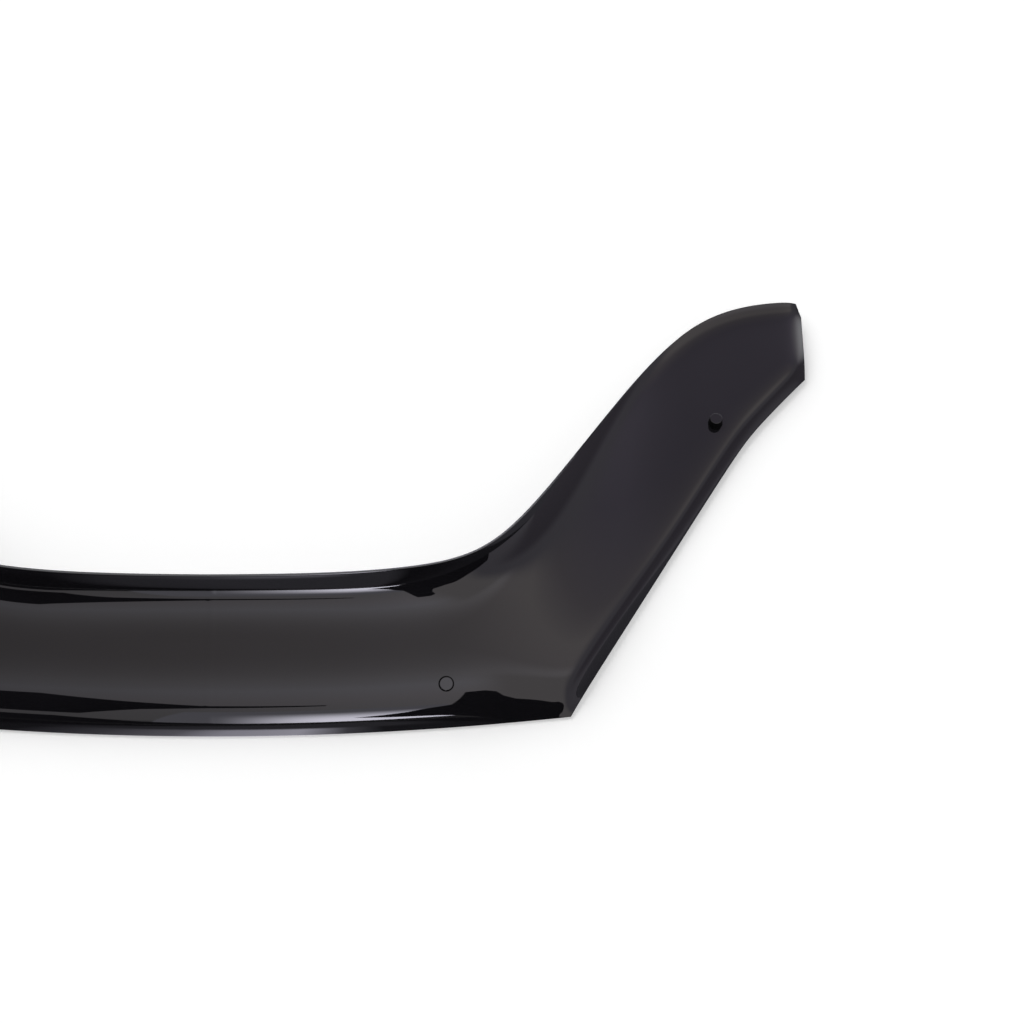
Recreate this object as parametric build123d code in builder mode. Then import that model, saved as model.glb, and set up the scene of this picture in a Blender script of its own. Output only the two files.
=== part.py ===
from build123d import *
import os
from collections import namedtuple
from math import cos, pi, sqrt

# Bonnet deflector: one formed acrylic sheet and the push-in studs that fix it
# It lies on its front edge and arm tips with its outer face up
# x runs across the vehicle, y from the front corners to the arm tips and z up, in millimetres

sheet_thickness = 3.0

# Plan of the band
band_half_width = 350.0
band_depth = 131.0
front_bow = 21.0

# Plan of the arms: slopes are y over x, and a softness is the length that a bend is spread over
arm_reach = 255.0
arm_slope = 1.69
arm_end_width = 88.0
arm_turn_slope = 0.59
arm_turn_from_end = 65.0
arm_turn_softness = 18.0
lip_steepening = 0.52
lip_bend_from_corner = 69.0
lip_bend_softness = 62.0
lip_turn_from_end = 136.0
lip_turn_softness = 92.0

# Heights of the plain middle of the sheet, and where the band runs down into the arms
band_height = 38.0
band_slope = 0.14
arm_height = 19.0
fall_before_corner = 130.0
fall_past_corner = 130.0

# Rolled edges: the width that turns down, its softness and the share of the height that is lost
front_roll_width = 16.0
front_roll_softness = 16.0
front_roll_share = 1.0
arm_roll_width = 9.0
arm_roll_softness = 7.0
arm_roll_share = 0.78
tip_roll_width = 10.0
tip_roll_softness = 8.0
tip_roll_share = 0.42

# Lip along the rear edge: it grows towards the corners, and is small and gentle on the arms
lip_slope = 2.5
lip_slope_on_arm = 0.5
lip_ease_before_corner = 200.0
lip_ease_past_corner = 70.0
lip_width = 10.0
lip_softness = 11.0
lip_growth = 0.3
lip_size_on_arm = 0.75
lip_fade_before_corner = 70.0
lip_fade_past_corner = 100.0
lip_cut_width = 7.0
lip_cut_length = 16.0

# Studs: conical head on the outer face, shank through the sheet, snap collar and pin behind it
stud_head_radius = 7.6
stud_face_radius = 6.4
stud_head_height = 9.5
stud_rim_radius = 0.4
stud_shank_radius = 3.9
stud_hole_clearance = 0.1
stud_seat_gap = 0.1
stud_collar_gap = 0.4
stud_collar_radius = 4.7
stud_collar_length = 3.0
stud_pin_radius = 3.0
stud_pin_length = 8.0
band_stud_from_corner = 121.0
band_stud_setback = 31.0
arm_stud_from_end = 100.0
arm_stud_setback = 67.0

# Sections along the sheet, and points along each section
band_sections = 25
arm_sections = 17
section_points = 19

Bend = namedtuple("Bend", "x slope softness")


def spread(count: int) -> list[float]:
    """Shares from 0 to 1, closer together towards both ends."""
    return [(1 - cos(pi * i / (count - 1))) / 2 for i in range(count)]


def ramp(distance: float, softness: float) -> float:
    """Rises from nothing to a straight slope of one, softly about zero."""
    return (distance + sqrt(distance**2 + softness**2)) / 2


def ease(value: float, start: float, end: float) -> float:
    """Runs smoothly from 0 at the start to 1 at the end."""
    share = min(max((value - start) / (end - start), 0.0), 1.0)
    return share**3 * (10 - 15 * share + 6 * share**2)


def rolled(distance: float, width: float, softness: float, share: float) -> float:
    """Share of the sheet's height that a rolled edge leaves at a distance from it."""
    return 1 - share * ramp(width - distance, softness) / ramp(width, softness)


def bent(bend: Bend, start: float, x: float) -> float:
    """How far a bend carries an edge between a start place and x."""
    return bend.slope * (ramp(x - bend.x, bend.softness) - ramp(start - bend.x, bend.softness))


def rate(curve, place: float) -> float:
    """Slope of a curve at a place."""
    return curve(place + 0.5) - curve(place - 0.5)


def front_edge(x: float) -> float:
    """Bowed front edge of the band."""
    return front_bow * ((x / band_half_width) ** 2 - 1)


def arm_edge(x: float) -> float:
    """Outer edge of an arm, which turns outwards near its end."""
    return arm_slope * (abs(x) - band_half_width) - bent(arm_turn, band_half_width, abs(x))


def outer_edge(x: float) -> float:
    """Front edge of the band, then outer edge of the arm."""
    return front_edge(x) if abs(x) <= band_half_width else arm_edge(x)


def lip_edge(x: float) -> float:
    """Rear edge on top of the lip, which bends along the arm and turns outwards at its end."""
    return lip_line + bent(lip_bend, 0, abs(x)) - bent(lip_turn, 0, abs(x))


def height(x: float, y: float) -> float:
    """Outer face of the sheet over the plan."""
    across = abs(x)
    behind_front = y - front_edge(x)
    inside_arm = (y - arm_edge(x)) / sqrt(1 + rate(arm_edge, x) ** 2)
    before_lip = (lip_edge(x) - y) / sqrt(1 + rate(lip_edge, x) ** 2)
    fall = ease(across, band_half_width - fall_before_corner, band_half_width + fall_past_corner)
    middle = (band_height + band_slope * behind_front) * (1 - fall) + arm_height * fall
    middle *= rolled(behind_front, front_roll_width, front_roll_softness, front_roll_share)
    middle *= rolled(inside_arm, arm_roll_width, arm_roll_softness, arm_roll_share)
    middle *= rolled(arm_end - across, tip_roll_width, tip_roll_softness, tip_roll_share)
    fade = ease(across, lip_fade_start, band_half_width + lip_fade_past_corner)
    lip_size = (1 + lip_growth * (across / lip_fade_start) ** 2) * (1 - fade) + lip_size_on_arm * fade
    easing = ease(across, band_half_width - lip_ease_before_corner, band_half_width + lip_ease_past_corner)
    slope = lip_slope * (1 - easing) + lip_slope_on_arm * easing
    return middle + slope * ramp(lip_size * lip_width - before_lip, lip_size * lip_softness)


def normal(x: float, y: float) -> Vector:
    """Direction that the outer face looks in."""
    along_x = rate(lambda place: height(place, y), x)
    along_y = rate(lambda place: height(x, place), y)
    return Vector(-along_x, -along_y, 1).normalized()


def outer_points(x: float) -> list[tuple[float, float]]:
    """Section of the outer face from lip to outer edge, as y and z."""
    run = outer_edge(x) - lip_edge(x)
    places = [lip_edge(x) + share * run for share in spread(section_points)]
    return [(y, height(x, y)) for y in places]


def inner_points(x: float) -> list[tuple[float, float]]:
    """Section of the inner face, one sheet thickness behind the outer one."""
    places = [y - sheet_thickness * normal(x, y).Y for y, _ in outer_points(x)]
    return [(y, height(x, y) - sheet_thickness / normal(x, y).Z) for y in places]


def seat(x: float, y: float) -> Plane:
    """Plane on the outer face, square to the sheet."""
    return Plane(origin=(x, y, height(x, y)), z_dir=normal(x, y))


# Edges worked out from the sizes: the lip's last turn leaves the arm its end width
arm_end = band_half_width + arm_reach
lip_line = band_depth - front_bow
lip_fade_start = band_half_width - lip_fade_before_corner
arm_turn = Bend(arm_end - arm_turn_from_end, arm_turn_slope, arm_turn_softness)
lip_bend = Bend(band_half_width - lip_bend_from_corner, arm_slope + lip_steepening, lip_bend_softness)
full_turn = Bend(arm_end - lip_turn_from_end, 1.0, lip_turn_softness)
lip_overrun = lip_line + bent(lip_bend, 0, arm_end) - arm_edge(arm_end) - arm_end_width
lip_turn = full_turn._replace(slope=lip_overrun / bent(full_turn, 0, arm_end))

# Stud seats, in mirrored pairs
band_stud_x = band_half_width - band_stud_from_corner
arm_stud_x = arm_end - arm_stud_from_end
stud_seats = []
for side in (-1, 1):
    stud_seats.append(seat(side * band_stud_x, front_edge(band_stud_x) + band_stud_setback))
    stud_seats.append(seat(side * arm_stud_x, arm_edge(arm_stud_x) + arm_stud_setback))

# Sheet: lofted through cross-sections as the band and two arms, then trimmed and drilled
band_stations = [band_half_width * (2 * share - 1) for share in spread(band_sections)]
right_stations = [band_half_width + arm_reach * share for share in spread(arm_sections)]
left_stations = [-x for x in right_stations]
lip_corner = lip_edge(arm_end) + sheet_thickness

with BuildPart() as deflector_shell:
    for stations in (band_stations, right_stations, left_stations):
        for x in stations:
            with BuildSketch(Plane.YZ.offset(x)):
                with BuildLine():
                    outer = Spline(*outer_points(x))
                    inner = Spline(*inner_points(x))
                    Line(outer @ 0, inner @ 0)
                    Line(outer @ 1, inner @ 1)
                make_face()
        loft()
    with BuildSketch():
        with BuildLine():
            Polyline(
                (arm_end, lip_corner - lip_cut_length),
                (arm_end, lip_corner),
                (arm_end - lip_cut_width, lip_corner),
                close=True,
            )
        make_face()
        mirror(about=Plane.YZ)
    extrude(until=Until.LAST, mode=Mode.SUBTRACT)
    with Locations(*stud_seats):
        Hole(stud_shank_radius + stud_hole_clearance, depth=2 * sheet_thickness)

# Studs: one profile turned about the axis of each seat
collar_top = -sheet_thickness - stud_collar_gap
pin_top = collar_top - stud_collar_length
pin_end = pin_top - stud_pin_length

with BuildPart() as fixing_studs:
    for place in stud_seats:
        with BuildSketch(Plane(place.origin, x_dir=place.x_dir, z_dir=-place.y_dir)) as profile:
            with BuildLine():
                Polyline(
                    (0, stud_head_height),
                    (stud_face_radius, stud_head_height),
                    (stud_head_radius, stud_seat_gap),
                    (stud_shank_radius, stud_seat_gap),
                    (stud_shank_radius, collar_top),
                    (stud_collar_radius, collar_top),
                    (stud_pin_radius, pin_top),
                    (stud_pin_radius, pin_end),
                    (0, pin_end),
                    close=True,
                )
            make_face()
            rim = profile.vertices().group_by(Axis.Y)[-1].sort_by(Axis.X)[-1]
            fillet(rim, radius=stud_rim_radius)
        revolve(axis=Axis(place.origin, place.z_dir))

# Origin under the middle of the part, on the surface that it lies on
extent = deflector_shell.part.bounding_box()
to_rest = Location((0, -(extent.min.Y + extent.max.Y) / 2, -extent.min.Z))
os.makedirs("parts", exist_ok=True)

deflector_shell.part.move(to_rest)
deflector_shell.part.label = "deflector_shell"
export_step(deflector_shell.part, "parts/deflector_shell.step")

fixing_studs.part.move(to_rest)
fixing_studs.part.label = "fixing_studs"
export_step(fixing_studs.part, "parts/fixing_studs.step")
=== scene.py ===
"""Looks of the bonnet deflector: a formed gloss black acrylic sheet with its push-in studs."""

import logging
import math
from dataclasses import dataclass, field
from enum import Enum
from typing import Any, Callable

import bmesh
import bpy
import numpy as np
from mathutils import Matrix, Vector


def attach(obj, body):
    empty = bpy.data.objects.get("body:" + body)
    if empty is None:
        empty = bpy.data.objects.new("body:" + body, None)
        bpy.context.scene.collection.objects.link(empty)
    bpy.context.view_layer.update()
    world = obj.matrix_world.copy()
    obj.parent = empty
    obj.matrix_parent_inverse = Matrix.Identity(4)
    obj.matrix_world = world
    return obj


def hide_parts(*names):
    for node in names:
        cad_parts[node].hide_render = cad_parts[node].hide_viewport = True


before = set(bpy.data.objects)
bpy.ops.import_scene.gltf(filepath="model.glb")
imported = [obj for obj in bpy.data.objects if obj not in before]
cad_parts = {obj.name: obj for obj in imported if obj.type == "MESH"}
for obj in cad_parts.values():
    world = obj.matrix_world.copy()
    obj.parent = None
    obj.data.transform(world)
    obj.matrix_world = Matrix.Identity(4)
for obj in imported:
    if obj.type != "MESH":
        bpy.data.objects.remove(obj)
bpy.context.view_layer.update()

log = logging.getLogger("bonnet_deflector")

MM = 0.001
BODY = "root"
HALF_TURN = 180.0

# Numbers of a Mix node's sockets when it mixes colours
MIX_SHARE = 0
MIX_FIRST = 6
MIX_SECOND = 7
MIX_RESULT = 2

Grid = np.ndarray


class Side(Enum):
    """Sides of the part, as the sign of x."""

    LEFT = -1
    RIGHT = 1


def linear(hex_colour: str) -> tuple[float, float, float, float]:
    """Turns an sRGB hex colour into linear values.

    Args:
        hex_colour: six hex digits after a hash sign.

    Returns:
        Red, green, blue and an alpha of one.
    """
    shares = [int(hex_colour[i : i + 2], 16) / 255 for i in (1, 3, 5)]
    red, green, blue = [s / 12.92 if s <= 0.04045 else ((s + 0.055) / 1.055) ** 2.4 for s in shares]
    return (red, green, blue, 1.0)


def add_node(tree: bpy.types.NodeTree, kind: str, inputs: dict[Any, Any], **settings: Any) -> bpy.types.Node:
    """Adds a node with its settings, values and links.

    Args:
        tree: the node tree that gets it.
        kind: the node's type name.
        inputs: values, or sockets to link from, by the input's name or number.
        settings: attributes of the node itself.

    Returns:
        The new node.
    """
    node = tree.nodes.new(kind)
    for name, value in settings.items():
        setattr(node, name, value)
    for name, value in inputs.items():
        if isinstance(value, bpy.types.NodeSocket):
            tree.links.new(value, node.inputs[name])
        else:
            node.inputs[name].default_value = value
    return node


def new_material(name: str) -> tuple[bpy.types.Material, bpy.types.NodeTree, bpy.types.Node]:
    """Makes a material with an empty tree and its output node.

    Args:
        name: the material's name.

    Returns:
        The material, its tree and the output node.
    """
    material = bpy.data.materials.new(name)
    material.use_nodes = True
    tree = material.node_tree
    tree.nodes.clear()
    return material, tree, add_node(tree, "ShaderNodeOutputMaterial", {})


@dataclass(frozen=True)
class FormedAcrylic:
    """Cast acrylic sheet, tinted black through and formed hot, so that it keeps a polished face.

    The eye sees a deep black with mirror reflections, drawn a little by the waves that forming leaves.
    """

    name: str = "gloss_black_acrylic"
    colour: str = "#0b0a0c"
    dust_colour: str = "#17161a"
    ior: float = 1.49
    roughness: float = 0.018
    roughness_shares: tuple[float, float] = (0.6, 1.6)
    wave_mm: float = 90.0
    wave_depth_mm: float = 0.02
    wave_detail: float = 1.0
    haze_mm: float = 140.0
    haze_detail: float = 4.0

    def make(self) -> bpy.types.Material:
        """Makes the polished face's material.

        Returns:
            The material.
        """
        material, tree, output = new_material(self.name)
        place = add_node(tree, "ShaderNodeTexCoord", {}).outputs["Object"]
        wave, haze = (
            add_node(
                tree, "ShaderNodeTexNoise", {"Vector": place, "Scale": 1 / (size * MM), "Detail": detail}
            )
            for size, detail in ((self.wave_mm, self.wave_detail), (self.haze_mm, self.haze_detail))
        )
        tint = add_node(
            tree,
            "ShaderNodeMix",
            {
                MIX_SHARE: haze.outputs["Fac"],
                MIX_FIRST: linear(self.colour),
                MIX_SECOND: linear(self.dust_colour),
            },
            data_type="RGBA",
        )
        least, most = (share * self.roughness for share in self.roughness_shares)
        sheen = add_node(
            tree, "ShaderNodeMapRange", {"Value": haze.outputs["Fac"], "To Min": least, "To Max": most}
        )
        bump = add_node(
            tree,
            "ShaderNodeBump",
            {"Height": wave.outputs["Fac"], "Strength": 1.0, "Distance": self.wave_depth_mm * MM},
        )
        shader = add_node(
            tree,
            "ShaderNodeBsdfPrincipled",
            {
                "Base Color": tint.outputs[MIX_RESULT],
                "Roughness": sheen.outputs["Result"],
                "IOR": self.ior,
                "Normal": bump.outputs["Normal"],
            },
        )
        tree.links.new(shader.outputs["BSDF"], output.inputs["Surface"])
        return material


@dataclass(frozen=True)
class GrainedPlastic:
    """Black plastic whose shine is broken by a grain, drawn coarse enough to show in close views."""

    name: str
    colour: str
    ior: float
    roughness: float
    grain_mm: float
    grain_depth_mm: float
    specular: float = 0.5

    def make(self) -> bpy.types.Material:
        """Makes the plastic's material.

        Returns:
            The material.
        """
        material, tree, output = new_material(self.name)
        place = add_node(tree, "ShaderNodeTexCoord", {}).outputs["Object"]
        grain = add_node(tree, "ShaderNodeTexNoise", {"Vector": place, "Scale": 1 / (self.grain_mm * MM)})
        bump = add_node(
            tree, "ShaderNodeBump", {"Height": grain.outputs["Fac"], "Distance": self.grain_depth_mm * MM}
        )
        shader = add_node(
            tree,
            "ShaderNodeBsdfPrincipled",
            {
                "Base Color": linear(self.colour),
                "Roughness": self.roughness,
                "IOR": self.ior,
                "Specular IOR Level": self.specular,
                "Normal": bump.outputs["Normal"],
            },
        )
        tree.links.new(shader.outputs["BSDF"], output.inputs["Surface"])
        return material


@dataclass(frozen=True)
class TrimmedEdge(GrainedPlastic):
    """The sheet's trimmed edge: the same acrylic, sawn and scraped, so that it is satin and catches light."""

    name: str = "trimmed_acrylic_edge"
    colour: str = "#15151b"
    ior: float = 1.49
    roughness: float = 0.32
    grain_mm: float = 1.2
    grain_depth_mm: float = 0.02


@dataclass(frozen=True)
class MouldedNylon(GrainedPlastic):
    """Injection moulded black nylon, polished on a stud's face and matt on its wall, where its colour is also
    darker as painted shade.
    """

    name: str = "moulded_black_nylon"
    colour: str = "#0c0b0d"
    ior: float = 1.53
    roughness: float = 0.03
    grain_mm: float = 0.7
    grain_depth_mm: float = 0.004


def pick_alone(piece: bpy.types.Object) -> None:
    """Leaves one object selected and active.

    Args:
        piece: the object.
    """
    bpy.ops.object.select_all(action="DESELECT")
    piece.select_set(True)
    bpy.context.view_layer.objects.active = piece


def select_faces(piece: bpy.types.Object, wanted: Callable[[bmesh.types.BMFace], bool]) -> None:
    """Selects the faces of a piece in edit mode that pass a test.

    Args:
        piece: the object that is in edit mode.
        wanted: says of a face if it is selected.
    """
    bpy.ops.mesh.select_mode(type="FACE")
    edited = bmesh.from_edit_mesh(piece.data)
    for face in edited.faces:
        face.select_set(wanted(face))
    edited.select_flush_mode()
    bmesh.update_edit_mesh(piece.data)


def apply_modifier(piece: bpy.types.Object, kind: str, **settings: Any) -> None:
    """Adds a modifier with its settings and applies it.

    Args:
        piece: the object that gets it.
        kind: the modifier's type name.
        settings: attributes of the modifier.
    """
    pick_alone(piece)
    modifier = piece.modifiers.new(kind.lower(), kind)
    for name, value in settings.items():
        setattr(modifier, name, value)
    bpy.ops.object.modifier_apply(modifier=modifier.name)


@dataclass
class Bend:
    """A soft turn in an edge's plan: where it is, how much the slope changes and over what length."""

    x: float
    slope: float
    softness: float


@dataclass
class Roll:
    """An edge that is rolled down: its width, its softness and the share of the height that it takes."""

    width: float
    softness: float
    share: float


def ramp(distance: Grid, softness: Grid) -> Grid:
    """Rises from nothing to a straight slope of one, softly about zero."""
    return (distance + np.sqrt(distance**2 + softness**2)) / 2


def ease(value: Grid, start: float, end: float) -> Grid:
    """Runs smoothly from 0 at the start to 1 at the end."""
    share = np.clip((value - start) / (end - start), 0.0, 1.0)
    return share**3 * (10 - 15 * share + 6 * share**2)


def rolled(distance: Grid, roll: Roll) -> Grid:
    """Share of the sheet's height that a rolled edge leaves at a distance from it."""
    return 1 - roll.share * ramp(roll.width - distance, roll.softness) / ramp(roll.width, roll.softness)


def bent(bend: Bend, start: float, x: Grid) -> Grid:
    """How far a bend carries an edge between a start place and x."""
    return bend.slope * (ramp(x - bend.x, bend.softness) - ramp(start - bend.x, bend.softness))


def rate(curve: Callable[[Grid], Grid], place: Grid) -> Grid:
    """Slope of a curve at a place."""
    return curve(place + 0.5) - curve(place - 0.5)


@dataclass
class DeflectorSheet:
    """The formed sheet: a bowed band with a rolled front edge, a flared lip behind and two swept arms.

    Sizes are in millimetres, in the frame that the part is drawn in, whose y starts at the front corners.
    """

    thickness: float = 3.0
    band_half_width: float = 350.0
    band_depth: float = 131.0
    front_bow: float = 21.0
    arm_reach: float = 255.0
    arm_slope: float = 1.69
    arm_end_width: float = 88.0
    arm_turn_slope: float = 0.59
    arm_turn_from_end: float = 65.0
    arm_turn_softness: float = 18.0
    lip_steepening: float = 0.52
    lip_bend_from_corner: float = 69.0
    lip_bend_softness: float = 62.0
    lip_turn_from_end: float = 136.0
    lip_turn_softness: float = 92.0
    band_height: float = 38.0
    band_slope: float = 0.14
    arm_height: float = 19.0
    fall_before_corner: float = 130.0
    fall_past_corner: float = 130.0
    front_roll: Roll = field(default_factory=lambda: Roll(16.0, 16.0, 1.0))
    arm_roll: Roll = field(default_factory=lambda: Roll(9.0, 7.0, 0.78))
    tip_roll: Roll = field(default_factory=lambda: Roll(10.0, 8.0, 0.42))
    lip_slope: float = 2.5
    lip_width: float = 10.0
    lip_softness: float = 11.0
    lip_growth: float = 0.3
    lip_size_on_arm: float = 0.75
    lip_slope_on_arm: float = 0.5
    lip_fade_before_corner: float = 70.0
    lip_fade_past_corner: float = 100.0
    lip_ease_before_corner: float = 200.0
    lip_ease_past_corner: float = 70.0
    lip_cut_width: float = 7.0
    lip_cut_length: float = 16.0
    rest_shift: tuple[float, float, float] = (0.0, -229.998, 2.66)
    band_columns: int = 220
    arm_columns: int = 100
    column_evenness: float = 0.45
    rows: int = 72
    row_evenness: float = 0.3
    drill_length: float = 12.0
    drill_facets: int = 48
    edge_round: float = 0.45
    edge_round_steps: int = 2
    edge_angle: float = 55.0
    smooth_angle: float = 40.0
    arm_end: float = field(init=False)
    lip_line: float = field(init=False)
    arm_turn: Bend = field(init=False)
    lip_bend: Bend = field(init=False)
    lip_turn: Bend = field(init=False)

    def __post_init__(self) -> None:
        """Works out the edges' bends from the sizes."""
        self.arm_end = self.band_half_width + self.arm_reach
        self.lip_line = self.band_depth - self.front_bow
        self.arm_turn = Bend(
            self.arm_end - self.arm_turn_from_end, self.arm_turn_slope, self.arm_turn_softness
        )
        self.lip_bend = Bend(
            self.band_half_width - self.lip_bend_from_corner,
            self.arm_slope + self.lip_steepening,
            self.lip_bend_softness,
        )
        self.lip_turn = Bend(self.arm_end - self.lip_turn_from_end, 1.0, self.lip_turn_softness)
        overrun = self.lip_line + bent(self.lip_bend, 0, self.arm_end)
        overrun -= self.arm_edge(self.arm_end) + self.arm_end_width
        self.lip_turn.slope = overrun / bent(self.lip_turn, 0, self.arm_end)

    def front_edge(self, x: Grid) -> Grid:
        """Bowed front edge of the band."""
        return self.front_bow * ((x / self.band_half_width) ** 2 - 1)

    def arm_edge(self, x: Grid) -> Grid:
        """Outer edge of an arm, which turns outwards near its end."""
        across = np.abs(x)
        return self.arm_slope * (across - self.band_half_width) - bent(
            self.arm_turn, self.band_half_width, across
        )

    def outer_edge(self, x: Grid) -> Grid:
        """Front edge of the band, then outer edge of the arm."""
        return np.where(np.abs(x) <= self.band_half_width, self.front_edge(x), self.arm_edge(x))

    def lip_edge(self, x: Grid) -> Grid:
        """Rear edge on top of the lip."""
        across = np.abs(x)
        return self.lip_line + bent(self.lip_bend, 0, across) - bent(self.lip_turn, 0, across)

    def height(self, x: Grid, y: Grid) -> Grid:
        """Outer face of the sheet over the plan.

        Args:
            x: places across the vehicle.
            y: places along it.

        Returns:
            Heights of the outer face.
        """
        across = np.abs(x)
        behind_front = y - self.front_edge(x)
        inside_arm = (y - self.arm_edge(x)) / np.sqrt(1 + rate(self.arm_edge, x) ** 2)
        before_lip = (self.lip_edge(x) - y) / np.sqrt(1 + rate(self.lip_edge, x) ** 2)
        corner = self.band_half_width
        fall = ease(across, corner - self.fall_before_corner, corner + self.fall_past_corner)
        middle = (self.band_height + self.band_slope * behind_front) * (1 - fall) + self.arm_height * fall
        middle = middle * rolled(behind_front, self.front_roll) * rolled(inside_arm, self.arm_roll)
        middle = middle * rolled(self.arm_end - across, self.tip_roll)
        fade_start = corner - self.lip_fade_before_corner
        fade = ease(across, fade_start, corner + self.lip_fade_past_corner)
        size = (1 + self.lip_growth * (across / fade_start) ** 2) * (1 - fade) + self.lip_size_on_arm * fade
        easing = ease(across, corner - self.lip_ease_before_corner, corner + self.lip_ease_past_corner)
        slope = self.lip_slope * (1 - easing) + self.lip_slope_on_arm * easing
        return middle + slope * ramp(size * self.lip_width - before_lip, size * self.lip_softness)

    def seat(self, x: float, y: float) -> Matrix:
        """Gives the place of a stud on the outer face.

        Args:
            x: the stud's place across.
            y: the stud's place along.

        Returns:
            A matrix in metres whose z is square to the sheet.
        """
        along_x = float(rate(lambda place: self.height(place, y), x))
        along_y = float(rate(lambda place: self.height(x, place), y))
        square = Vector((-along_x, -along_y, 1)).normalized()
        centre = Vector((x, y, float(self.height(x, y)))) + Vector(self.rest_shift)
        return Matrix.Translation(centre * MM) @ square.to_track_quat("Z", "Y").to_matrix().to_4x4()

    def column_places(self) -> Grid:
        """Places the grid's columns, closer together towards the tips.

        Returns:
            Places across the vehicle.
        """
        band = np.linspace(-1, 1, self.band_columns + 1) * self.band_half_width
        step = np.linspace(0, 1, self.arm_columns + 1)[1:]
        crowded = np.sin(step * math.pi / 2)
        reach = self.column_evenness * step + (1 - self.column_evenness) * crowded
        arm = self.band_half_width + self.arm_reach * reach
        return np.concatenate([-arm[::-1], band, arm])

    def row_shares(self) -> Grid:
        """Places the grid's rows, closer together towards both edges.

        Returns:
            Shares of the way from the outer edge to the lip.
        """
        step = np.linspace(0, 1, self.rows + 1)
        crowded = (1 - np.cos(math.pi * step)) / 2
        return self.row_evenness * step + (1 - self.row_evenness) * crowded

    def build(self, seats: list[Matrix], hole_radius: float) -> bpy.types.Object:
        """Forms the sheet from a flat grid and finishes its edges and holes.

        Args:
            seats: places of the stud holes.
            hole_radius: radius of the holes.

        Returns:
            The finished sheet.
        """
        columns = self.column_places()
        shares = self.row_shares()
        last_column, last_row = len(columns) - 1, len(shares) - 1
        bpy.ops.object.select_all(action="DESELECT")
        # The flat grid runs from -1 to 1 both ways
        bpy.ops.mesh.primitive_grid_add(x_subdivisions=last_column, y_subdivisions=last_row, size=2)
        sheet = bpy.context.object
        sheet.name = sheet.data.name = "deflector_sheet"
        flat = np.empty(3 * len(sheet.data.vertices))
        sheet.data.vertices.foreach_get("co", flat)
        flat = flat.reshape(-1, 3)
        x = columns[np.rint((flat[:, 0] + 1) / 2 * last_column).astype(int)]
        share = shares[np.rint((flat[:, 1] + 1) / 2 * last_row).astype(int)]
        y = self.outer_edge(x) + share * (self.lip_edge(x) - self.outer_edge(x))
        formed = np.stack([x, y, self.height(x, y)], axis=1) + np.array(self.rest_shift)
        sheet.data.vertices.foreach_set("co", (formed * MM).ravel())
        self.trim_lip_ends(sheet)
        apply_modifier(
            sheet,
            "SOLIDIFY",
            thickness=self.thickness * MM,
            offset=-1.0,
            use_even_offset=True,
            use_quality_normals=True,
            material_offset_rim=1,
        )
        self.drill(sheet, seats, hole_radius)
        apply_modifier(
            sheet,
            "BEVEL",
            width=self.edge_round * MM,
            segments=self.edge_round_steps,
            limit_method="ANGLE",
            angle_limit=math.radians(self.edge_angle),
            use_clamp_overlap=True,
        )
        pick_alone(sheet)
        bpy.ops.object.shade_smooth_by_angle(angle=math.radians(self.smooth_angle))
        return sheet

    def trim_lip_ends(self, sheet: bpy.types.Object) -> None:
        """Cuts back the corner where the lip meets each arm's end.

        Args:
            sheet: the formed sheet, before it has its thickness.
        """
        corner_y = float(self.lip_edge(np.float64(self.arm_end))) + self.thickness
        for side in Side:
            pick_alone(sheet)
            bpy.ops.object.mode_set(mode="EDIT")
            bpy.ops.mesh.select_all(action="SELECT")
            place = Vector((side.value * self.arm_end, corner_y - self.lip_cut_length, 0))
            bpy.ops.mesh.bisect(
                plane_co=(place + Vector(self.rest_shift)) * MM,
                plane_no=Vector((side.value * self.lip_cut_length, self.lip_cut_width, 0)).normalized(),
                clear_outer=True,
            )
            bpy.ops.object.mode_set(mode="OBJECT")

    def drill(self, sheet: bpy.types.Object, seats: list[Matrix], radius: float) -> None:
        """Cuts the stud holes through the sheet.

        Args:
            sheet: the sheet with its thickness.
            seats: places of the holes.
            radius: radius of a hole.
        """
        for place in seats:
            bpy.ops.object.select_all(action="DESELECT")
            bpy.ops.mesh.primitive_cylinder_add(
                vertices=self.drill_facets, radius=radius * MM, depth=self.drill_length * MM
            )
            drill = bpy.context.object
            drill.data.transform(place)
            apply_modifier(sheet, "BOOLEAN", operation="DIFFERENCE", solver="EXACT", object=drill)
            bpy.data.objects.remove(drill)

    def dress(self, sheet: bpy.types.Object) -> None:
        """Gives the sheet its finishes and its place in the frame.

        Args:
            sheet: the finished sheet.
        """
        for finish in (FormedAcrylic(), TrimmedEdge()):
            sheet.data.materials.append(finish.make())
        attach(sheet, BODY)
        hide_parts("deflector_shell")


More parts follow.
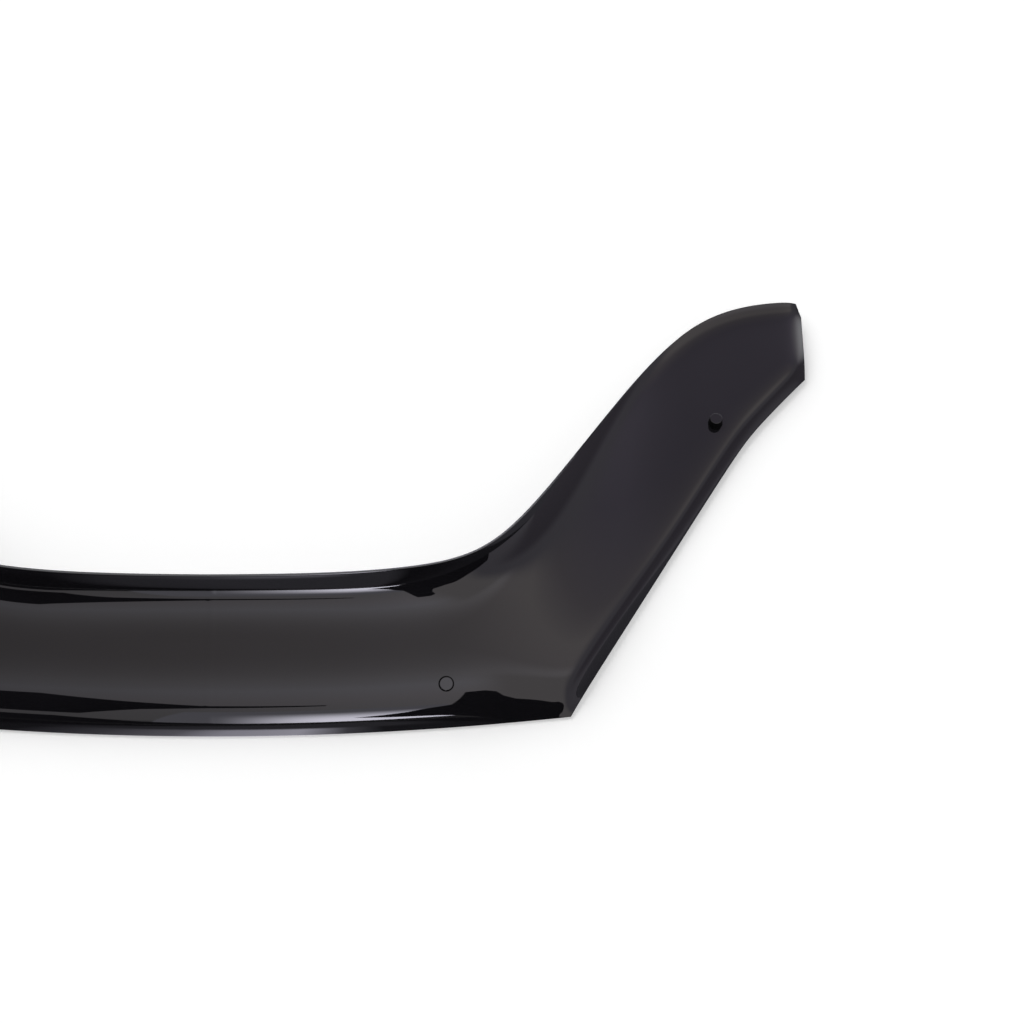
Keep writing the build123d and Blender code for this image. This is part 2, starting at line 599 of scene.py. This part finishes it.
@dataclass
class FixingStuds:
    """Push-in studs in mirrored pairs: conical head, shank through the sheet, snap collar and pin behind it.

    Sizes are in millimetres, with z at nothing on the sheet's outer face. The two shares are how far up or
    down a face has to look to count as flat, and how far up to count as the head's polished face.
    """

    head_radius: float = 7.6
    face_radius: float = 6.4
    head_height: float = 9.5
    rim_round: float = 0.5
    rim_round_steps: int = 4
    shank_radius: float = 3.9
    hole_radius: float = 4.0
    seat_gap: float = 0.1
    collar_top: float = -3.4
    collar_radius: float = 4.7
    collar_length: float = 3.0
    pin_radius: float = 3.0
    pin_length: float = 8.0
    band_from_corner: float = 121.0
    band_setback: float = 31.0
    arm_from_end: float = 100.0
    arm_setback: float = 67.0
    facets: int = 64
    flat_share: float = 0.9
    face_share: float = 0.8
    smooth_angle: float = 35.0
    face: MouldedNylon = MouldedNylon()
    # The wall's finish is matt, and its colour is darker than the face's as painted shade on the stud's side.
    wall: MouldedNylon = MouldedNylon("matt_nylon_painted_shade", "#040404", roughness=0.6, specular=0.1)

    def seats(self, sheet: DeflectorSheet) -> dict[str, Matrix]:
        """Places the studs on the sheet.

        Args:
            sheet: the sheet that carries them.

        Returns:
            Each stud's place by its name.
        """
        band_x = sheet.band_half_width - self.band_from_corner
        arm_x = sheet.arm_end - self.arm_from_end
        band_y = float(sheet.front_edge(band_x)) + self.band_setback
        arm_y = float(sheet.arm_edge(np.float64(arm_x))) + self.arm_setback
        places = {}
        for side in Side:
            places[f"band_stud_{side.name.lower()}"] = sheet.seat(side.value * band_x, band_y)
            places[f"arm_stud_{side.name.lower()}"] = sheet.seat(side.value * arm_x, arm_y)
        return places

    def draw_out(self, stud: bpy.types.Object, radius: float, depth: float) -> None:
        """Extrudes the face that looks down and brings its rim to a radius.

        Args:
            stud: the stud in edit mode, with its lowest face selected.
            radius: the new rim's radius.
            depth: how far down it goes.
        """
        bpy.ops.mesh.extrude_region_move(TRANSFORM_OT_translate={"value": (0, 0, -depth * MM)})
        self.set_radius(stud, radius)

    def set_radius(self, stud: bpy.types.Object, radius: float) -> None:
        """Scales the selected face about the axis to a radius.

        Args:
            stud: the stud in edit mode, with that face selected.
            radius: the face's new radius.
        """
        edited = bmesh.from_edit_mesh(stud.data)
        now = max(v.co.xy.length for v in edited.verts if v.select)
        share = radius * MM / now
        bpy.ops.transform.resize(value=(share, share, 1), center_override=(0, 0, 0))

    def model(self) -> bpy.types.Object:
        """Models one stud about the z axis.

        Returns:
            The stud, at the origin.
        """
        bpy.ops.object.select_all(action="DESELECT")
        tall = self.head_height - self.seat_gap
        bpy.ops.mesh.primitive_cylinder_add(
            vertices=self.facets,
            radius=self.head_radius * MM,
            depth=tall * MM,
            location=(0, 0, (self.seat_gap + tall / 2) * MM),
        )
        stud = bpy.context.object
        pick_alone(stud)
        bpy.ops.object.transform_apply(location=True, rotation=True, scale=True)
        bpy.ops.object.mode_set(mode="EDIT")
        select_faces(stud, lambda face: face.normal.z > self.flat_share)
        self.set_radius(stud, self.face_radius)
        bpy.ops.mesh.bevel(offset=self.rim_round * MM, segments=self.rim_round_steps, affect="EDGES")
        select_faces(stud, lambda face: face.normal.z < -self.flat_share)
        bpy.ops.mesh.inset(thickness=(self.head_radius - self.shank_radius) * MM)
        self.draw_out(stud, self.shank_radius, self.seat_gap - self.collar_top)
        bpy.ops.mesh.extrude_region_move(TRANSFORM_OT_translate={"value": (0, 0, 0)})
        self.set_radius(stud, self.collar_radius)
        self.draw_out(stud, self.pin_radius, self.collar_length)
        self.draw_out(stud, self.pin_radius, self.pin_length)
        for finish in (self.face, self.wall):
            stud.data.materials.append(finish.make())
        # Faces that look sideways or down take the wall's matt finish with its painted shade.
        select_faces(stud, lambda face: face.normal.z < self.face_share)
        stud.active_material_index = 1
        bpy.ops.object.material_slot_assign()
        bpy.ops.object.mode_set(mode="OBJECT")
        bpy.ops.object.shade_smooth_by_angle(angle=math.radians(self.smooth_angle))
        apply_modifier(stud, "WEIGHTED_NORMAL", keep_sharp=True)
        return stud

    def build(self, places: dict[str, Matrix]) -> list[bpy.types.Object]:
        """Copies the stud to its seats.

        Args:
            places: each stud's place by its name.

        Returns:
            The studs.
        """
        pattern = self.model()
        studs = []
        for name, place in places.items():
            stud = pattern.copy()
            stud.data = pattern.data.copy()
            stud.name = stud.data.name = name
            stud.data.transform(place)
            bpy.context.scene.collection.objects.link(stud)
            studs.append(stud)
        bpy.data.objects.remove(pattern)
        return studs

    def dress(self, studs: list[bpy.types.Object]) -> None:
        """Gives the studs their place in the frame.

        Args:
            studs: the studs on their seats.
        """
        for stud in studs:
            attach(stud, BODY)
            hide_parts("fixing_studs")


@dataclass(frozen=True)
class Panel:
    """A studio panel or flag that only reflections see, on an arc far round the part.

    Its corners are given as degrees from the horizon behind the part, over its top, to the horizon in front,
    and as degrees to the right of straight ahead. A lamp glows more towards its lower edge and its right end.
    """

    name: str
    corners: tuple[tuple[float, float], ...]
    base: float
    glow: float = 0.0
    glow_heights: tuple[float, float] = (0.0, 1.0)
    glow_sides: tuple[float, float] = (0.0, 1.0)
    tint: str = "#f2f0ff"
    distance: float = 10.0

    def point(self, angle: float, side: float) -> Vector:
        """Gives a place on the arc from its two angles."""
        turn = math.radians(angle)
        return Vector((math.tan(math.radians(side)), math.cos(turn), math.sin(turn))) * self.distance

    def build(self, centre: Vector) -> None:
        """Hangs the panel.

        Args:
            centre: the middle of the arc.
        """
        mesh = bpy.data.meshes.new(self.name)
        points = [centre + self.point(*corner) for corner in self.corners]
        mesh.from_pydata(points, [], [tuple(range(len(points)))])
        panel = bpy.data.objects.new(self.name, mesh)
        bpy.context.scene.collection.objects.link(panel)
        mesh.materials.append(self.make(centre))
        panel.visible_camera = False
        panel.visible_diffuse = False
        panel.visible_shadow = False

    def make(self, centre: Vector) -> bpy.types.Material:
        """Makes the panel's glow.

        Args:
            centre: the middle of the arc.

        Returns:
            The material.
        """
        material, tree, output = new_material(self.name)
        place = add_node(tree, "ShaderNodeTexCoord", {}).outputs["Object"]
        parts = add_node(tree, "ShaderNodeSeparateXYZ", {"Vector": place})
        heights = [(centre + self.point(angle, 0.0)).z for angle in self.glow_heights]
        sides = [(centre + self.point(HALF_TURN / 2, side)).x for side in self.glow_sides]
        down, across = (
            add_node(
                tree,
                "ShaderNodeMapRange",
                {"Value": parts.outputs[axis], "From Min": start, "From Max": end},
                interpolation_type="SMOOTHSTEP",
            ).outputs["Result"]
            for axis, (start, end) in (("Z", heights), ("X", sides))
        )
        share = add_node(tree, "ShaderNodeMath", {0: down, 1: across}, operation="MULTIPLY")
        level = add_node(
            tree,
            "ShaderNodeMath",
            {0: share.outputs[0], 1: self.glow, 2: self.base},
            operation="MULTIPLY_ADD",
        )
        light = add_node(
            tree, "ShaderNodeEmission", {"Color": linear(self.tint), "Strength": level.outputs[0]}
        )
        tree.links.new(light.outputs["Emission"], output.inputs["Surface"])
        return material


@dataclass(frozen=True)
class SideTone:
    """Tone of a side of the room.

    It comes in over a range of sideways reach and over a range of degrees from the horizon behind the part.
    """

    tone: tuple[float, float, float]
    sides: tuple[float, float]
    angles: tuple[float, float]


@dataclass
class Studio:
    """White floor, soft light, reflected panels and the camera.

    Reflections see the floor in tones of their own, by x in metres: the near ones behind the change in y,
    and the far ones in front of it. They see the room in tones by degrees from the horizon behind the part,
    over its top, to the horizon in front, which grow from the left to the right by the room's gain.
    """

    floor_size: float = 80.0
    floor_colour: str = "#e6e6e6"
    floor_lift: float = 0.39
    floor_tint: str = "#f1eeff"
    floor_near: tuple[tuple[float, float], ...] = (
        (-0.45, 0.05),
        (-0.22, 0.1),
        (-0.13, 0.8),
        (-0.05, 2.0),
        (0.0, 5.0),
        (0.08, 6.5),
        (0.13, 1.0),
        (0.17, 0.15),
        (0.31, 0.1),
        (0.45, 0.33),
        (0.8, 0.44),
    )
    floor_far: tuple[tuple[float, float], ...] = (
        (-0.45, 0.02),
        (-0.28, 0.03),
        (-0.19, 0.3),
        (-0.05, 0.42),
        (0.2, 0.4),
        (0.27, 0.03),
        (0.8, 0.1),
    )
    floor_change: tuple[float, float] = (-0.54, -0.42)
    lens: float = 75.0
    sensor: float = 36.0
    eye: tuple[float, float, float] = (0.2925, -1.0978, 1.9059)
    tilt: float = 30.0
    arc_centre: tuple[float, float, float] = (0.1, -0.2, 0.05)
    room_tones: tuple[tuple[float, tuple[float, float, float]], ...] = (
        (0.0, (2.3, 2.3, 2.4)),
        (30.0, (2.2, 2.2, 2.3)),
        (43.0, (1.2, 1.15, 1.25)),
        (54.0, (0.60, 0.54, 0.68)),
        (59.0, (0.51, 0.46, 0.58)),
        (68.0, (0.64, 0.58, 0.63)),
        (76.0, (1.0, 0.92, 0.92)),
        (88.0, (0.98, 0.90, 0.92)),
        (100.0, (1.45, 1.38, 1.45)),
        (114.0, (1.75, 1.70, 1.85)),
        (140.0, (1.6, 1.5, 1.6)),
        (176.0, (1.3, 1.25, 1.3)),
        (179.5, (0.1, 0.1, 0.1)),
    )
    room_gain: tuple[float, float] = (0.62, 1.3)
    room_gain_sides: tuple[float, float] = (-0.3, 0.45)
    room_light: float = 0.48
    key_way: tuple[float, float, float] = (-0.75, 0.65, 0.75)
    key_spread: float = 70.0
    key_strength: float = 2.3
    side_tones: tuple[SideTone, ...] = (
        SideTone((1.25, 1.17, 1.19), (0.06, 0.26), (92.0, 106.0)),
        SideTone((0.70, 0.66, 0.76), (0.52, 0.72), (44.0, 58.0)),
        SideTone((0.40, 0.36, 0.44), (0.76, 0.90), (165.0, 95.0)),
    )
    panels: tuple[Panel, ...] = (
        Panel(
            "front_lamp",
            ((164.0, -10.0), (164.0, 5.5), (179.0, 7.5), (179.0, -12.0)),
            1.4,
            13.0,
            (168.0, 178.0),
            (-9.0, -1.0),
        ),
        Panel(
            "dark_flag_right",
            (
                (176.4, -0.2), (175.0, 1.5), (173.0, 3.0), (169.5, 4.2), (165.5, 6.0), (157.0, 6.6),
                (138.0, 7.2), (135.5, 10.5), (139.0, 12.5), (150.0, 13.2), (157.0, 14.5), (159.0, 20.0),
                (158.0, 26.0), (163.0, 37.0), (168.0, 56.0), (180.3, 60.0), (180.3, 8.0), (178.2, 5.0),
                (177.4, 2.0),
            ),
            0.03,
            distance=9.6,
        ),
        Panel(
            "dark_flag_left",
            (
                (126.0, -45.0), (126.0, -17.0), (140.0, -13.0), (150.0, -9.0), (153.0, -2.0), (155.0, -2.0),
                (155.5, -9.0), (159.0, -12.5), (170.0, -16.0), (168.0, -45.0),
            ),
            0.03,
            distance=9.6,
        ),
        Panel(
            "low_flag_left",
            ((174.0, -45.0), (174.5, -17.5), (178.0, -12.5), (179.6, -4.0), (180.0, -45.0)),
            0.03,
            distance=9.4,
        ),
    )

    def build(self) -> None:
        """Sets up the floor, the light, the panels and the camera."""
        self.lay_floor()
        self.light()
        for panel in self.panels:
            panel.build(Vector(self.arc_centre))
        self.aim()

    def lay_floor(self) -> None:
        """Lays a white floor that keeps the part's shadow."""
        bpy.ops.object.select_all(action="DESELECT")
        bpy.ops.mesh.primitive_plane_add(size=self.floor_size)
        floor = bpy.context.object
        floor.name = "studio_floor"
        material, tree, output = new_material("white_studio_floor")
        paths = add_node(tree, "ShaderNodeLightPath", {})
        lift = add_node(
            tree,
            "ShaderNodeMath",
            {0: paths.outputs["Is Camera Ray"], 1: self.floor_lift},
            operation="MULTIPLY",
        )
        board = add_node(tree, "ShaderNodeBsdfDiffuse", {"Color": linear(self.floor_colour)})
        glow = add_node(tree, "ShaderNodeEmission", {"Strength": lift.outputs[0]})
        both = add_node(tree, "ShaderNodeAddShader", {0: board.outputs[0], 1: glow.outputs[0]})
        seen = add_node(
            tree,
            "ShaderNodeMixShader",
            {0: paths.outputs["Is Glossy Ray"], 1: both.outputs[0], 2: self.mirror_floor(tree)},
        )
        tree.links.new(seen.outputs[0], output.inputs["Surface"])
        floor.data.materials.append(material)

    def mirror_floor(self, tree: bpy.types.NodeTree) -> bpy.types.NodeSocket:
        """Gives the floor the tones that reflections see.

        Args:
            tree: the floor's node tree.

        Returns:
            The glow in those tones.
        """
        place = add_node(tree, "ShaderNodeTexCoord", {}).outputs["Object"]
        parts = add_node(tree, "ShaderNodeSeparateXYZ", {"Vector": place})
        start, end = self.floor_change
        near = add_node(
            tree,
            "ShaderNodeMapRange",
            {"Value": parts.outputs["Y"], "From Min": start, "From Max": end},
            interpolation_type="SMOOTHSTEP",
        )
        tint = linear(self.floor_tint)[:3]
        top = max(tone for _, tone in self.floor_near)
        zones = []
        for zone in (self.floor_far, self.floor_near):
            left, right = zone[0][0], zone[-1][0]
            across = add_node(
                tree, "ShaderNodeMapRange", {"Value": parts.outputs["X"], "From Min": left, "From Max": right}
            )
            tones = [
                ((x - left) / (right - left), tuple(part * tone / top for part in tint)) for x, tone in zone
            ]
            zones.append(self.run_tones(tree, across.outputs["Result"], tones))
        mixed = add_node(
            tree,
            "ShaderNodeMix",
            {MIX_SHARE: near.outputs["Result"], MIX_FIRST: zones[0], MIX_SECOND: zones[1]},
            data_type="RGBA",
        )
        mirrored = add_node(
            tree, "ShaderNodeEmission", {"Color": mixed.outputs[MIX_RESULT], "Strength": top}
        )
        return mirrored.outputs[0]

    def light(self) -> None:
        """Sets a plain room light, the tones that reflections see instead, and the key lamp."""
        world = bpy.data.worlds.new("studio_room")
        bpy.context.scene.world = world
        world.use_nodes = True
        tree = world.node_tree
        tree.nodes.clear()
        plain = add_node(tree, "ShaderNodeBackground", {"Strength": self.room_light})
        paths = add_node(tree, "ShaderNodeLightPath", {})
        mixed = add_node(
            tree,
            "ShaderNodeMixShader",
            {0: paths.outputs["Is Glossy Ray"], 1: plain.outputs[0], 2: self.mirror_room(tree)},
        )
        output = add_node(tree, "ShaderNodeOutputWorld", {"Surface": mixed.outputs[0]})
        output.is_active_output = True
        data = bpy.data.lights.new("key_lamp", "SUN")
        data.angle = math.radians(self.key_spread)
        data.energy = self.key_strength
        lamp = bpy.data.objects.new("key_lamp", data)
        lamp.rotation_euler = Vector(self.key_way).to_track_quat("Z", "Y").to_euler()
        lamp.visible_glossy = False
        bpy.context.scene.collection.objects.link(lamp)

    def mirror_room(self, tree: bpy.types.NodeTree) -> bpy.types.NodeSocket:
        """Gives the room the tones that reflections see.

        Args:
            tree: the room's node tree.

        Returns:
            The background in those tones.
        """
        way = add_node(tree, "ShaderNodeTexCoord", {}).outputs["Generated"]
        parts = add_node(tree, "ShaderNodeSeparateXYZ", {"Vector": way})
        turn = add_node(
            tree, "ShaderNodeMath", {0: parts.outputs["Z"], 1: parts.outputs["Y"]}, operation="ARCTAN2"
        )
        share = add_node(tree, "ShaderNodeMath", {0: turn.outputs[0], 1: math.pi}, operation="DIVIDE")
        top = max(max(tone) for _, tone in self.room_tones)
        tones = [(angle / HALF_TURN, tuple(part / top for part in tone)) for angle, tone in self.room_tones]
        gain = add_node(
            tree,
            "ShaderNodeMapRange",
            {
                "Value": parts.outputs["X"],
                "From Min": self.room_gain_sides[0],
                "From Max": self.room_gain_sides[1],
                "To Min": self.room_gain[0],
                "To Max": self.room_gain[1],
            },
        )
        run = self.run_tones(tree, share.outputs[0], tones)
        tone = add_node(
            tree, "ShaderNodeVectorMath", {0: run, "Scale": gain.outputs["Result"]}, operation="SCALE"
        ).outputs[0]
        for side in self.side_tones:
            angles = [angle / HALF_TURN for angle in side.angles]
            aside, above = (
                add_node(
                    tree,
                    "ShaderNodeMapRange",
                    {"Value": value, "From Min": start, "From Max": end},
                    interpolation_type="SMOOTHSTEP",
                ).outputs["Result"]
                for value, (start, end) in ((parts.outputs["X"], side.sides), (share.outputs[0], angles))
            )
            beside = add_node(tree, "ShaderNodeMath", {0: aside, 1: above}, operation="MULTIPLY")
            side_tone = (*(part / top for part in side.tone), 1)
            tone = add_node(
                tree,
                "ShaderNodeMix",
                {MIX_SHARE: beside.outputs[0], MIX_FIRST: tone, MIX_SECOND: side_tone},
                data_type="RGBA",
            ).outputs[MIX_RESULT]
        return add_node(tree, "ShaderNodeBackground", {"Color": tone, "Strength": top}).outputs[0]

    def run_tones(
        self,
        tree: bpy.types.NodeTree,
        share: bpy.types.NodeSocket,
        tones: list[tuple[float, tuple[float, float, float]]],
    ) -> bpy.types.NodeSocket:
        """Runs through tones along a share from 0 to 1.

        Args:
            tree: the node tree.
            share: the share.
            tones: places along the share and their colours.

        Returns:
            The colour at the share.
        """
        run = add_node(tree, "ShaderNodeValToRGB", {"Fac": share})
        stops = run.color_ramp.elements
        while len(stops) < len(tones):
            stops.new(1.0)
        for stop, (place, tone) in zip(stops, tones):
            stop.position = place
            stop.color = (*tone, 1)
        return run.outputs["Color"]

    def aim(self) -> None:
        """Places the camera that the photograph was taken from."""
        data = bpy.data.cameras.new("studio_camera")
        data.lens = self.lens
        data.sensor_width = self.sensor
        camera = bpy.data.objects.new("studio_camera", data)
        camera.location = self.eye
        camera.rotation_euler = (math.radians(self.tilt), 0, 0)
        bpy.context.scene.collection.objects.link(camera)
        bpy.context.scene.camera = camera
        bpy.context.scene.view_settings.view_transform = "Standard"


def main() -> None:
    """Builds the pieces in order, dresses them and sets the studio."""
    logging.basicConfig(level=logging.INFO, format="%(name)s: %(message)s")
    sheet = DeflectorSheet()
    studs = FixingStuds()
    places = studs.seats(sheet)
    formed = sheet.build(list(places.values()), studs.hole_radius)
    sheet.dress(formed)
    log.info("%s: %d faces", formed.name, len(formed.data.polygons))
    fitted = studs.build(places)
    studs.dress(fitted)
    for stud in fitted:
        log.info("%s: %d faces", stud.name, len(stud.data.polygons))
    Studio().build()


if __name__ == "__main__":
    main()
